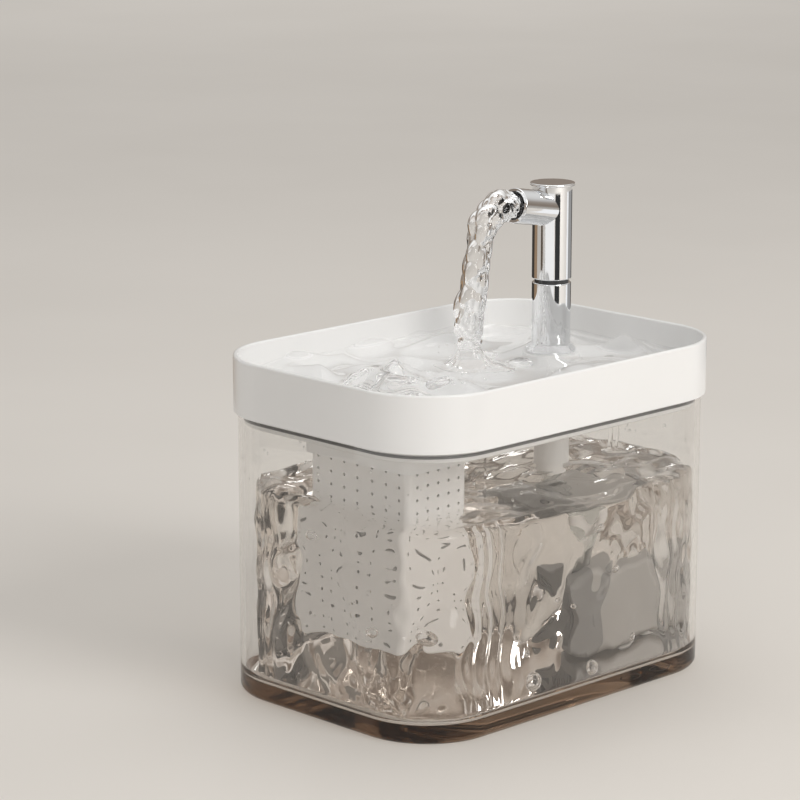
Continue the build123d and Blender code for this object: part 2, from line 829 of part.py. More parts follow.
def make_pump_cover():
    """Slotted cap that pushes over the volute's rebate."""
    shell = pump_block(cover_front, volute_front)
    shell = round_edges(shell, Axis.Y, cover_front, pump_edge_round)
    shell -= pump_block(cover_front + cover_wall, volute_front + spare, cover_wall)
    middle = (pump_bottom + pump_top) / 2
    low = middle - intake_slot_height / 2
    slots = [slab(intake_slot_width, cover_front - spare, cover_front + cover_wall + spare,
                  low, low + intake_slot_height, x)
             for x in row(intake_slots, intake_slot_pitch)]
    return shell - slots


def make_intake_sponge():
    return pump_block(cover_front + cover_wall, rebate_front - sponge_clearance,
                      cover_wall)


def make_suction_cups():
    cups = []
    for x, y in cup_places():
        bell = Cone(cup_diameter / 2, cup_stem_diameter / 2, cup_height)
        hollow_height = cup_height - 2 * cup_lip
        hollow = Cone(cup_diameter / 2 - cup_lip, cup_lip, hollow_height)
        bell = Pos(0, 0, cup_height / 2) * bell - Pos(0, 0, hollow_height / 2) * hollow
        stem = rod(cup_stem_diameter, cup_height - cup_lip / 2, cup_height + cup_stem_depth)
        cups.append(Pos(x, y, tank_base) * (bell + stem))
    return cups


def make_riser_hose():
    top = socket_stop_low - hose_top_gap
    hose = rod(nozzle_diameter + 2 * hose_wall, pump_top, top, y=faucet_y)
    return hose - rod(nozzle_diameter, pump_top - spare, top + spare, y=faucet_y)


# --- the whole fountain -------------------------------------------------------------
def make_all():
    nodes = {
        "tank": make_tank(),
        "cable_grommet": make_cable_grommet(),
        "tray": make_tray(),
        "tray_seal": make_tray_seal(),
        "filter_box": make_filter_box(),
        "cartridge_case": make_cartridge_case(),
        "drain_grille": make_drain_grille(),
        "faucet_gasket": make_faucet_gasket(),
        "faucet_sleeve": make_faucet_sleeve(),
        "spigot_rings": make_spigot_rings(),
        "swivel_rings": make_swivel_rings(),
        "swivel_washer": make_swivel_washer(),
        "faucet_head": make_faucet_head(),
        "spout_liner": make_spout_liner(),
        "faucet_cap": make_faucet_cap(),
        "riser_hose": make_riser_hose(),
        "pump_housing": make_pump_housing(),
        "pump_back_cover": make_pump_back_cover(),
        "driver_board": make_driver_board(),
        "stator_core": make_stator_core(),
        "stator_coils": make_stator_coils(),
        "volute_casing": make_volute_casing(),
        "shaft_bushes": make_shaft_bushes(),
        "impeller_shaft": make_impeller_shaft(),
        "impeller": make_impeller(),
        "rotor_magnet": make_rotor_magnet(),
        "pump_cover": make_pump_cover(),
        "intake_sponge": make_intake_sponge(),
        "suction_cups": make_suction_cups(),
    }
    nodes.update(make_filter_media())
    return nodes


for name, shape in make_all().items():
    if isinstance(shape, list):
        shape = Compound(children=shape)
    export_step(shape, f"parts/{name}.step")
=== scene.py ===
import math
import random

import bpy
import numpy as np
from mathutils import Matrix, Vector, noise


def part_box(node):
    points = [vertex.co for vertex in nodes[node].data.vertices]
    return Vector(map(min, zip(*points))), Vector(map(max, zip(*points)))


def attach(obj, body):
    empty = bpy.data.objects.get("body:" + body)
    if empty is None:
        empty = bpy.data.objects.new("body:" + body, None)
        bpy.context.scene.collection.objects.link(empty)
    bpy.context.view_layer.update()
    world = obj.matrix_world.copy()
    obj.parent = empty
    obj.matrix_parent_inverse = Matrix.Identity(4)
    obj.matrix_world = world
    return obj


# Sizes and places are in millimetres, and meshes are built from them in metres. The studio round
# the object (floor, lights, cards, camera) and names that end in _m are in metres.
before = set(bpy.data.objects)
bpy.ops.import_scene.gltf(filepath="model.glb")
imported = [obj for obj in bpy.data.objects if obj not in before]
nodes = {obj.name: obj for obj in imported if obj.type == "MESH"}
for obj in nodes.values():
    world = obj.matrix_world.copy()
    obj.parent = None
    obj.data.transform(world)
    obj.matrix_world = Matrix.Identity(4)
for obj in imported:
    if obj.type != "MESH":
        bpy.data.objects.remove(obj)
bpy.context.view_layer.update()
scene = bpy.context.scene
MM = 0.001


# --- shared mesh helpers ------------------------------------------------------------
def mm_box(node):
    """A CAD node's box at rest, in millimetres."""
    low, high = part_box(node)
    return low / MM, high / MM


def smoothstep(value, low, high):
    """0 up to low, 1 from high on, and smooth between them."""
    t = min(max((value - low) / (high - low), 0.0), 1.0)
    return t * t * (3 - 2 * t)


def near(value, middle, width):
    """1 at the middle, falling smoothly to 0 some widths away."""
    return math.exp(-((value - middle) / width) ** 2)


def wave(x, y, z, size, seed=0.0):
    """Smooth noise, about -1 to 1, that changes over size millimetres."""
    return 1.7 * noise.noise(Vector((x / size + seed, y / size - seed, z / size + 0.37 * seed)))


def domes(x, y, z, size, seed=0.0):
    """Domed cells with sharp valleys between them: about 0 in the valleys, 1 on top."""
    distances, _ = noise.voronoi(Vector((x / size + seed, y / size - seed, z / size)))
    return 1 - min(distances[0] * 1.35, 1.0) ** 2


def rounded_outline(centre, half_x, half_y, radius, step):
    """Points on a rounded rectangle, anticlockwise from its +X side, with outward normals."""
    points, normals = [], []
    arc_steps = max(4, round(radius * math.pi / 2 / step))
    corners = [(1, 1), (-1, 1), (-1, -1), (1, -1)]
    for index, (sx, sy) in enumerate(corners):
        cx, cy = sx * (half_x - radius), sy * (half_y - radius)
        for i in range(arc_steps + 1):
            angle = math.radians(90 * index + 90 * i / arc_steps)
            normal = (math.cos(angle), math.sin(angle))
            points.append((cx + radius * normal[0], cy + radius * normal[1]))
            normals.append(normal)
        run = 2 * (half_x - radius) if index % 2 == 0 else 2 * (half_y - radius)
        count = max(1, round(run / step))
        start, normal = points[-1], normals[-1]
        along = (-normal[1], normal[0])
        for i in range(1, count):
            points.append((start[0] + along[0] * run * i / count,
                           start[1] + along[1] * run * i / count))
            normals.append(normal)
    return np.array(points) + np.array(centre), np.array(normals)


def mesh_object(name, verts, faces, material, body):
    """A smooth piece from millimetre points that rides on a CAD body."""
    mesh = bpy.data.meshes.new(name)
    mesh.from_pydata((np.asarray(verts) * MM).tolist(), [], faces)
    mesh.update()
    mesh.shade_smooth()
    piece = bpy.data.objects.new(name, mesh)
    scene.collection.objects.link(piece)
    mesh.materials.append(material)
    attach(piece, body)


def ringed_skin(rings):
    """Points and faces of a closed skin over rings of equal count, with a fan at each end."""
    count = len(rings[0])
    verts = [tuple(p) for ring in rings for p in ring]
    faces = []
    for r in range(len(rings) - 1):
        a = r * count
        for i in range(count):
            j = (i + 1) % count
            faces.append((a + i, a + j, a + count + j, a + count + i))
    for ring_index, flip in ((0, True), (len(rings) - 1, False)):
        centre = len(verts)
        verts.append(tuple(np.mean(np.array(rings[ring_index]), axis=0)))
        a = ring_index * count
        for i in range(count):
            j = (i + 1) % count
            faces.append((a + j, a + i, centre) if flip else (a + i, a + j, centre))
    return verts, faces


def ball(verts, faces, centre, radius, inward=False, flatten=(1.0, 1.0, 1.0), segments=12):
    """Add a sphere to a skin. An air bubble's faces look inward, towards its air."""
    first = len(verts)
    rings = max(4, segments // 2)
    verts.append((centre[0], centre[1], centre[2] - radius * flatten[2]))
    for r in range(1, rings):
        polar = math.pi * r / rings
        for s in range(segments):
            turn = 2 * math.pi * s / segments
            verts.append((centre[0] + radius * flatten[0] * math.sin(polar) * math.cos(turn),
                          centre[1] + radius * flatten[1] * math.sin(polar) * math.sin(turn),
                          centre[2] - radius * flatten[2] * math.cos(polar)))
    verts.append((centre[0], centre[1], centre[2] + radius * flatten[2]))
    new = []
    for s in range(segments):
        t = (s + 1) % segments
        new.append((first, first + 1 + t, first + 1 + s))
        for r in range(rings - 2):
            a = first + 1 + r * segments
            new.append((a + s, a + t, a + segments + t, a + segments + s))
        a = first + 1 + (rings - 2) * segments
        new.append((a + s, a + t, len(verts) - 1))
    faces += [tuple(reversed(f)) for f in new] if inward else new


# --- materials ----------------------------------------------------------------------
def new_material(name):
    """A material and its Principled shader."""
    material = bpy.data.materials.new(name)
    material.use_nodes = True
    return material, material.node_tree.nodes["Principled BSDF"]


def add(material, kind, **inputs):
    """Add a node to a material, or to the world, and set its inputs by name."""
    node = material.node_tree.nodes.new(kind)
    for key, value in inputs.items():
        node.inputs[key.replace("_", " ")].default_value = value
    return node


def link(material, source, target):
    material.node_tree.links.new(source, target)


def object_noise(material, scale, detail=2.0, stretch=(1, 1, 1)):
    """Noise over the object's own space; scale is in cells per metre."""
    coordinates = add(material, "ShaderNodeTexCoord")
    mapping = add(material, "ShaderNodeMapping")
    mapping.inputs["Scale"].default_value = stretch
    texture = add(material, "ShaderNodeTexNoise", Scale=scale, Detail=detail)
    link(material, coordinates.outputs["Object"], mapping.inputs["Vector"])
    link(material, mapping.outputs["Vector"], texture.inputs["Vector"])
    return texture


def object_cells(material, scale):
    """Voronoi cells over the object's own space; scale is in cells per metre."""
    coordinates = add(material, "ShaderNodeTexCoord")
    texture = add(material, "ShaderNodeTexVoronoi", Scale=scale)
    link(material, coordinates.outputs["Object"], texture.inputs["Vector"])
    return texture


def ranged(material, source, low, high, from_low=0.3, from_high=0.7):
    """Map a pattern's usual span, 0.3 to 0.7, onto a range."""
    node = add(material, "ShaderNodeMapRange")
    for name, value in (("From Min", from_low), ("From Max", from_high),
                        ("To Min", low), ("To Max", high)):
        node.inputs[name].default_value = value
    link(material, source, node.inputs["Value"])
    return node.outputs["Result"]


def ramp(material, source, stops):
    """A colour ramp; stops are (position, (r, g, b))."""
    node = add(material, "ShaderNodeValToRGB")
    while len(node.color_ramp.elements) < len(stops):
        node.color_ramp.elements.new(0.5)
    for element, (position, colour) in zip(node.color_ramp.elements, stops):
        element.position = position
        element.color = (*colour, 1)
    link(material, source, node.inputs["Fac"])
    return node.outputs["Color"]


def bump(material, shader, height, strength, distance):
    node = add(material, "ShaderNodeBump", Strength=strength, Distance=distance)
    link(material, height, node.inputs["Height"])
    link(material, node.outputs["Normal"], shader.inputs["Normal"])


def let_light_through(material, shader, tint):
    """Lamps and bounced light pass straight through the clear material."""
    path = add(material, "ShaderNodeLightPath")
    either = add(material, "ShaderNodeMath")
    either.operation = "MAXIMUM"
    link(material, path.outputs["Is Shadow Ray"], either.inputs[0])
    link(material, path.outputs["Is Diffuse Ray"], either.inputs[1])
    clear = add(material, "ShaderNodeBsdfTransparent", Color=(tint, tint, tint, 1))
    mix = add(material, "ShaderNodeMixShader")
    link(material, either.outputs[0], mix.inputs[0])
    link(material, shader.outputs["BSDF"], mix.inputs[1])
    link(material, clear.outputs["BSDF"], mix.inputs[2])
    output = material.node_tree.nodes["Material Output"]
    link(material, mix.outputs["Shader"], output.inputs["Surface"])


def clear_material(name, colour, ior, rough_low, rough_high, tint, clearness=1.0,
                   bump_scale=0.0, bump_height=0.0):
    """Glass-clear plastic or water, with faint smears in its gloss."""
    material, shader = new_material(name)
    shader.inputs["Base Color"].default_value = (*colour, 1)
    shader.inputs["Transmission Weight"].default_value = clearness
    shader.inputs["IOR"].default_value = ior
    smears = object_noise(material, 60.0, detail=3.0)
    link(material, ranged(material, smears.outputs["Fac"], rough_low, rough_high),
         shader.inputs["Roughness"])
    if bump_height:
        ripple = object_noise(material, bump_scale, detail=2.0)
        bump(material, shader, ripple.outputs["Fac"], 0.35, bump_height * MM)
    let_light_through(material, shader, tint)
    return material


def tint_by_depth(material, colour, density):
    """Plain absorption: the longer light's way through the body, the more it takes."""
    absorb = add(material, "ShaderNodeVolumeAbsorption", Color=(*colour, 1), Density=density)
    link(material, absorb.outputs["Volume"],
         material.node_tree.nodes["Material Output"].inputs["Volume"])


def plastic_material(name, colour, rough_low, rough_high, grain=1400.0, grain_height=0.02,
                     coat=0.0, shade=0.04):
    """Moulded plastic: a faint mottle in colour and gloss, and a fine moulded grain."""
    material, shader = new_material(name)
    mottle = object_noise(material, 38.0, detail=4.0)
    dark = tuple(c * (1 - shade) for c in colour)
    link(material, ramp(material, mottle.outputs["Fac"], [(0.35, dark), (0.65, colour)]),
         shader.inputs["Base Color"])
    link(material, ranged(material, mottle.outputs["Fac"], rough_low, rough_high),
         shader.inputs["Roughness"])
    shader.inputs["Coat Weight"].default_value = coat
    shader.inputs["Coat Roughness"].default_value = 0.08
    fine = object_noise(material, grain, detail=1.0)
    bump(material, shader, fine.outputs["Fac"], 0.25, grain_height * MM)
    return material


def metal_material(name, colour, rough_low, rough_high, stretch=(1, 1, 1), cell=120.0,
                   height=0.0):
    """Metal with a faint pattern in its gloss; with a height, it also has laid strands."""
    material, shader = new_material(name)
    shader.inputs["Metallic"].default_value = 1.0
    pattern = object_noise(material, cell, detail=3.0, stretch=stretch)
    dark = tuple(c * 0.97 for c in colour)
    link(material, ramp(material, pattern.outputs["Fac"], [(0.3, dark), (0.7, colour)]),
         shader.inputs["Base Color"])
    link(material, ranged(material, pattern.outputs["Fac"], rough_low, rough_high),
         shader.inputs["Roughness"])
    if height:
        bump(material, shader, pattern.outputs["Fac"], 0.4, height * MM)
    return material


def granule_material(name, size, seams, low, high, rough, height):
    """Packed granules or open foam: cells of varied colour with dark seams between them."""
    material, shader = new_material(name)
    pattern = object_cells(material, 1000.0 / size)
    tone = add(material, "ShaderNodeSeparateColor")
    link(material, pattern.outputs["Color"], tone.inputs["Color"])
    grain_colour = ramp(material, tone.outputs["Red"], [(0.0, low), (1.0, high)])
    edge = ramp(material, pattern.outputs["Distance"], [(0.35, (1, 1, 1)), (0.75, seams)])
    mix = add(material, "ShaderNodeMix")
    mix.data_type = "RGBA"
    mix.blend_type = "MULTIPLY"
    mix.inputs["Factor"].default_value = 1.0
    link(material, grain_colour, mix.inputs["A"])
    link(material, edge, mix.inputs["B"])
    link(material, mix.outputs["Result"], shader.inputs["Base Color"])
    shader.inputs["Roughness"].default_value = rough
    inverted = ranged(material, pattern.outputs["Distance"], 1.0, 0.0, 0.0, 0.9)
    bump(material, shader, inverted, 0.8, height * MM)
    return material


def fibre_material(name, colour, shade, size, height):
    """Matted fibres: stretched noise laid two ways."""
    material, shader = new_material(name)
    one = object_noise(material, 1000.0 / size, detail=3.0, stretch=(1, 6, 3))
    other = object_noise(material, 1000.0 / size, detail=3.0, stretch=(6, 1, 3))
    both = add(material, "ShaderNodeMath")
    both.operation = "MAXIMUM"
    link(material, one.outputs["Fac"], both.inputs[0])
    link(material, other.outputs["Fac"], both.inputs[1])
    link(material, ramp(material, both.outputs[0], [(0.4, shade), (0.7, colour)]),
         shader.inputs["Base Color"])
    shader.inputs["Roughness"].default_value = 0.9
    bump(material, shader, both.outputs[0], 0.7, height * MM)
    return material


plastic_ior, silicone_ior, water_ior = 1.49, 1.41, 1.333
# Thin walls stay clear, and the thick base darkens, where light runs the long way through it.
tank_plastic = clear_material("tank_clear", (0.985, 0.99, 0.99), plastic_ior, 0.004, 0.02,
                              tint=0.92)
tint_by_depth(tank_plastic, (0.70, 0.60, 0.50), 30.0)
fresh_water = clear_material("fresh_water", (1.0, 1.0, 1.0), water_ior, 0.0, 0.006, tint=0.985)
# The tray's water is slightly milky, so that its swells can be read.
basin_water = clear_material("basin_water", (1.0, 1.0, 1.0), water_ior, 0.0, 0.006, tint=0.99,
                             clearness=0.88)
tint_by_depth(basin_water, (0.90, 0.908, 0.912), 9.0)
deep_water = clear_material("deep_water", (0.99, 0.99, 0.99), water_ior, 0.0, 0.006, tint=0.98)
tint_by_depth(deep_water, (0.79, 0.735, 0.68), 9.0)
hose_silicone = clear_material("hose_silicone", (0.86, 0.88, 0.88), silicone_ior, 0.09, 0.14,
                               tint=0.7, bump_scale=500.0, bump_height=0.05)
white_plastic = plastic_material("tray_white", (0.86, 0.855, 0.845), 0.28, 0.33, coat=0.2,
                                 shade=0.008)
inner_white = plastic_material("filter_white", (0.84, 0.825, 0.805), 0.36, 0.46,
                               grain=1000.0, grain_height=0.03)
pump_plastic = plastic_material("pump_grey", (0.49, 0.48, 0.465), 0.42, 0.55, grain=900.0,
                                grain_height=0.05, shade=0.07)
pump_trim = plastic_material("pump_trim_grey", (0.27, 0.265, 0.26), 0.35, 0.5, grain=900.0,
                             grain_height=0.05, shade=0.12)
# Near black: besides the liner's own dark plastic, it paints the shade inside the spout's mouth.
# The swivel's washer wears it too.
liner_black_painted_shade = plastic_material("liner_dark_painted_shade", (0.045, 0.045, 0.047), 0.25, 0.35)
soft_rubber = plastic_material("seal_rubber", (0.62, 0.62, 0.60), 0.55, 0.7, grain=700.0,
                               grain_height=0.05, shade=0.08)
dark_rubber = plastic_material("ring_rubber", (0.035, 0.035, 0.036), 0.5, 0.65,
                               grain=700.0, grain_height=0.06, shade=0.2)
# The tray's seal is dark grey so that it paints the shade of the gap under the tray's band, as
# seen through the tank's wall.
gap_shade_rubber = plastic_material("tray_seal_painted_shade", (0.17, 0.17, 0.172), 0.5, 0.65, grain=700.0,
                               grain_height=0.05, shade=0.2)
ceramic = plastic_material("ceramic", (0.78, 0.77, 0.74), 0.12, 0.2, coat=0.5, shade=0.02)
ferrite = plastic_material("ferrite", (0.055, 0.052, 0.05), 0.45, 0.6, grain=1600.0,
                           grain_height=0.05, shade=0.25)
chrome = metal_material("chrome", (0.86, 0.87, 0.885), 0.018, 0.045)
stator_steel = metal_material("stator_laminate", (0.42, 0.42, 0.43), 0.3, 0.42,
                              stretch=(0.2, 9, 0.2), cell=420.0, height=0.08)
copper = metal_material("copper_winding", (0.80, 0.42, 0.22), 0.25, 0.35,
                        stretch=(0.6, 0.6, 6), cell=700.0, height=0.12)
foam = granule_material("filter_foam", 1.1, (0.12, 0.12, 0.12), (0.10, 0.11, 0.12),
                        (0.17, 0.18, 0.19), 0.9, 0.35)
resin = granule_material("resin_beads", 0.9, (0.45, 0.35, 0.22), (0.72, 0.55, 0.30),
                         (0.86, 0.72, 0.46), 0.35, 0.3)
carbon = granule_material("carbon_grains", 1.4, (0.25, 0.25, 0.25), (0.018, 0.018, 0.02),
                          (0.06, 0.06, 0.065), 0.55, 0.45)
cotton = fibre_material("filter_cotton", (0.86, 0.85, 0.82), (0.66, 0.65, 0.62), 2.2, 0.25)


def board_material():
    """A green circuit board with faint tracks under its lacquer."""
    material, shader = new_material("circuit_board")
    tracks = add(material, "ShaderNodeTexBrick", Scale=260.0)
    tracks.inputs["Color1"].default_value = (0.02, 0.16, 0.07, 1)
    tracks.inputs["Color2"].default_value = (0.025, 0.20, 0.085, 1)
    tracks.inputs["Mortar"].default_value = (0.05, 0.33, 0.14, 1)
    coordinates = add(material, "ShaderNodeTexCoord")
    link(material, coordinates.outputs["Object"], tracks.inputs["Vector"])
    link(material, tracks.outputs["Color"], shader.inputs["Base Color"])
    shader.inputs["Roughness"].default_value = 0.32
    bump(material, shader, tracks.outputs["Fac"], 0.3, 0.04 * MM)
    return material


circuit_board = board_material()

finishes = {
    "tank": tank_plastic, "cable_grommet": soft_rubber,
    "tray": white_plastic, "tray_seal": gap_shade_rubber,
    "filter_box": inner_white, "cartridge_case": inner_white, "drain_grille": inner_white,
    "foam_pad": foam, "resin_bed": resin, "carbon_bed": carbon, "cotton_pad": cotton,
    "faucet_gasket": soft_rubber, "faucet_sleeve": chrome, "faucet_head": chrome,
    "faucet_cap": chrome, "spout_liner": liner_black_painted_shade, "spigot_rings": dark_rubber,
    "swivel_rings": dark_rubber, "swivel_washer": liner_black_painted_shade,
    "riser_hose": hose_silicone, "pump_housing": pump_plastic,
    "pump_back_cover": pump_trim, "pump_cover": pump_trim,
    "volute_casing": pump_plastic, "driver_board": circuit_board,
    "stator_core": stator_steel, "stator_coils": copper, "shaft_bushes": ceramic,
    "impeller_shaft": ceramic, "impeller": pump_plastic, "rotor_magnet": ferrite,
    "intake_sponge": foam, "suction_cups": soft_rubber,
}
for name, node in nodes.items():
    node.data.materials.clear()
    node.data.materials.append(finishes[name])
    for polygon in node.data.polygons:
        polygon.material_index = 0


# --- water in the tank --------------------------------------------------------------
_, tank_high = mm_box("tank")
_, tray_high = mm_box("tray")
tank_wall, tank_inner_corner = 2.2, 31.3
# The plain block of water, before its sides are shaped. It stands off the middle, as in the
# photo.
water_centre = (1.55, 1.55)
water_half_x, water_half_y, water_corner = 59.6, 87.1, 26.0
water_bottom = 7.2
foot_round, edge_round = 2.2, 2.5
# How far its sides may stand out and in, and the gap they keep to the tank's wall.
side_room, deepest_hollow, wall_gap = 2.3, 5.2, 0.3
# Known heights of the water's surface: place and level.
water_marks = [(-55, -74, 93.0), (-33, -86, 89.0), (0, -86, 88.5), (25, -86, 85.5),
               (50, -80, 87.0), (59, -60, 86.5), (60, -20, 85.5), (60, 20, 85.5),
               (60, 55, 88.0), (50, 80, 89.5), (12, 76, 89.0), (0, 20, 86.0),
               (-55, 0, 91.0), (-50, 75, 91.0)]
# Swells by the hose: centre, half lengths and height.
tank_swells = ((46, -2, 11, 9, 1.6), (50, 22, 10, 12, -1.3), (8, 24, 12, 9, 1.8),
               (22, 46, 9, 12, 1.4))
# Where water falls back from the tray.
return_x, return_y = 12, 76
# Large air bubbles in the water: centre and radius.
tank_bubbles = ((55, 17, 73.5, 3.0), (55, -9, 47, 1.9), (54, -22, 14, 4.6), (54, 14, 12, 3.6),
                (54, -27, 27, 2.2), (53, 4, 40, 1.6), (24, -80, 41, 3.4), (47, -74, 42, 4.2),
                (-12, -80, 75, 2.4), (53, 40, 20, 2.0), (52, 30, 52, 2.6))
# Where the ropes of water stand at the corners, along the outline from its +X side.
rope_places = (418.0, 424.5, 431.5, 536.0, 0.5, 7.5, 14.5, 300.0, 308.5)
rib_width, rope_width = 2.5, 5.0
lumps_seed, lump_pitch, lump_rows = 12, 12.5, 8


def water_level(x, y):
    """The tank water's mean level, drawn through a few known heights."""
    total = weight = 0.0
    for mx, my, level in water_marks:
        w = 1.0 / ((x - mx) ** 2 + (y - my) ** 2 + 220.0) ** 1.5
        total += w * level
        weight += w
    return total / weight


def water_top(x, y):
    """The tank water's surface, with ripples round the return stream and swells by the hose."""
    z = water_level(x, y)
    z += 1.0 * wave(x, y, 0, 26, 3.1) + 0.6 * wave(x * 1.7, y * 0.8, 0, 12, 8.3)
    z += 0.16 * wave(x, y, 0, 5.5, 1.7)
    from_return = math.hypot(x - return_x, y - return_y)
    z += 1.1 * math.cos(from_return / 2.1) * math.exp(-from_return / 9.0)
    for cx, cy, rx, ry, height in tank_swells:
        z += height * math.exp(-((x - cx) / rx) ** 2 - ((y - cy) / ry) ** 2)
    return z


def side_lumps(outline_length):
    """Round lumps and hollows over the tank water's sides: place, level, half sizes, height."""
    rng = np.random.default_rng(lumps_seed)
    columns = round(outline_length / lump_pitch)
    lowest, span = 8, 84
    lumps = []
    for column in range(columns):
        for row in range(lump_rows):
            size = rng.uniform(4.6, 8.6)
            height = rng.choice([-1.0, 1.0]) * rng.uniform(0.24, 0.40) * size
            place = (column + rng.uniform(-0.5, 0.5)) * outline_length / columns
            level = lowest + span * (row + rng.uniform(0, 1)) / lump_rows
            lumps.append((place, level, size, size * rng.uniform(0.9, 1.4), height))
    return lumps


def room_to_wall(points):
    """How far points in the tank are from its inner wall."""
    half = np.array([tank_high.x, tank_high.y]) - tank_wall
    past_straights = np.maximum(np.abs(points) - (half - tank_inner_corner), 0)
    return tank_inner_corner - np.hypot(past_straights[:, 0], past_straights[:, 1])


def add_tank_bubbles(verts, faces):
    """Air bubbles in the tank's water, from large ones by the wall to a fine scatter below."""
    for x, y, z, radius in tank_bubbles:
        ball(verts, faces, (x, y, z), radius, inward=True, segments=24,
             flatten=(1, 1, 0.72 if z > 20 else 1))
    rng = random.Random(4)
    for _ in range(260):
        if rng.random() < 0.5:
            x, y = rng.uniform(-50, 52), -81.0 + rng.uniform(0, 4)
        else:
            x, y = 56.0 - rng.uniform(0, 4), rng.uniform(-78, 70)
        # None stand in the rounded corners, where they would leave the water.
        if math.hypot(max(abs(x) - 30, 0), max(abs(y) - 58, 0)) > 22:
            continue
        z = 9.5 + 62 * rng.random() ** 2.4
        ball(verts, faces, (x, y, z), rng.uniform(0.2, 0.5), inward=True, segments=8)


def make_tank_water():
    """The tank's water: a rounded block with lumpy sides, ropes at its corners and a live top."""
    outline, normals = rounded_outline(water_centre, water_half_x, water_half_y,
                                       water_corner, 0.9)
    lengths = np.linalg.norm(np.diff(outline, axis=0, prepend=outline[-1:]), axis=1)
    along = np.cumsum(lengths)
    around = along[-1]
    tops = np.array([water_level(x, y) for x, y in outline])
    lumps = side_lumps(around)
    room = np.minimum(side_room, room_to_wall(outline) - wall_gap)
    # The far sides are calmer, so that what stands in the water stays readable.
    near_side = np.array([0.71, -0.70])
    calm = 0.7 + 0.3 * np.clip(normals @ near_side * 2 + 1, 0, 1)

    def off_from(place):
        """How far each point is from a place, along the outline and either way round."""
        return (along - place + around / 2) % around - around / 2

    def stand_out(levels):
        """How far the side stands out of its plain outline, at one level for each point."""
        d = np.array([0.2 + 0.7 * wave(x, y, z * 0.8, 26, 5.5) + 0.16 * wave(x, y, z, 5.5, 2.5)
                      for (x, y), z in zip(outline, levels)])
        for place, level, wide, high, height in lumps:
            d += height * np.exp(-(off_from(place) / wide) ** 2
                                 - ((levels - level) / high) ** 2)
        d *= calm
        ribs, rope = np.full(len(outline), -0.9), np.zeros(len(outline))
        for number, place in enumerate(rope_places):
            level = levels[np.argmin(np.abs(along - place))]
            off = off_from(place + 2.3 * wave(level, 7.3 * number, 0, 21.0))
            height = 2.3 + 1.2 * wave(level, 3.1 * number, 9.0, 15.0)
            ribs += height * np.exp(-(off / rib_width) ** 2)
            rope = np.maximum(rope, np.exp(-(off / rope_width) ** 2))
        d = d * (1 - rope) + rope * ribs
        # The side eases to a stop before it would reach the tank's wall.
        return np.clip(d, -deepest_hollow, None) - np.logaddexp(0, (d - room) * 3) / 3

    def ring(levels, outset):
        return np.column_stack([outline + normals * outset[:, None], levels])

    rows = []
    for scale in (0.1, 0.4, 0.7, 0.9):
        rows.append(np.column_stack([outline * scale, np.full(len(outline), water_bottom)]))
    low = water_bottom + foot_round
    foot_steps, side_steps, edge_steps, top_rings = 5, 84, 6, 46
    for step in range(foot_steps):
        angle = math.radians(90 * step / (foot_steps - 1))
        levels = np.full(len(outline), low - foot_round * math.cos(angle))
        outset = stand_out(levels) * 0.6 * math.sin(angle) - foot_round * (1 - math.sin(angle))
        # Where room is short, the foot also stays clear of the tank's rounded floor edge.
        outset -= 1.5 * (side_room - room) * math.cos(angle)
        rows.append(ring(levels, outset))
    for step in range(1, side_steps):
        levels = low + (tops - edge_round - low) * step / side_steps
        fade = 0.4 + 0.6 * np.clip((levels - low - 3) / 30, 0, 1)
        rows.append(ring(levels, stand_out(levels) * fade))
    edge_out = stand_out(tops - edge_round)
    for step in range(edge_steps):
        angle = math.radians(90 * step / (edge_steps - 1))
        outset = edge_out - edge_round * (1 - math.cos(angle))
        row = ring(tops - edge_round * (1 - math.sin(angle)), outset)
        for point in row:
            ripple = water_top(point[0], point[1]) - water_level(point[0], point[1])
            point[2] += ripple * smoothstep(step, 0, edge_steps - 1)
        rows.append(row)
    rim = rows[-1]
    for index in range(1, top_rings):
        scale = 1 - index / top_rings
        inner = np.array(water_centre) + (rim[:, :2] - water_centre) * scale
        blend = smoothstep(index, 0, 3)
        raised = 0.9 * near(index, 2.2, 1.6)
        levels = [water_top(x, y) * blend + z * (1 - blend) + raised
                  for (x, y), z in zip(inner, rim[:, 2])]
        rows.append(np.column_stack([inner, levels]))
    verts, faces = ringed_skin(rows)
    add_tank_bubbles(verts, faces)
    mesh_object("tank_water", verts, faces, deep_water, "tank")


# --- water in the tray --------------------------------------------------------------
# The tray from outside in: its half sizes, corner and rim, then its ledge and its basin.
tray_half_x, tray_half_y, tray_corner = tray_high.x, tray_high.y, 35.4
rim_wall, ledge_level = 2.0, 132.0
basin_wall_inset, basin_floor_level = 6.5, 119.4
# The water reaches a little into the tray's walls and floor, so that no gap shows.
into_wall, into_floor = 0.25, 0.35
faucet_x, faucet_y = 0.0, 48.8
# Where the stream lands.
foot_x, foot_y = 0.0, -2.0
# The surface's mean level, and the highest it may reach under the rim.
tray_mean, tray_highest = 136.3, 143.6
# Two large bubbles that raise the surface: centre, radius and height.
surface_bubbles = ((4.5, 24.2, 5.6, 2.3), (-14.5, 24.0, 4.6, 1.7))
# Flat pockets of air that the breaking crest drags under: centre and radius.
air_pockets = ((10, -57, 9.5), (-9, -40, 4.5), (25, -47, 5.5), (-9, -60, 4.0))
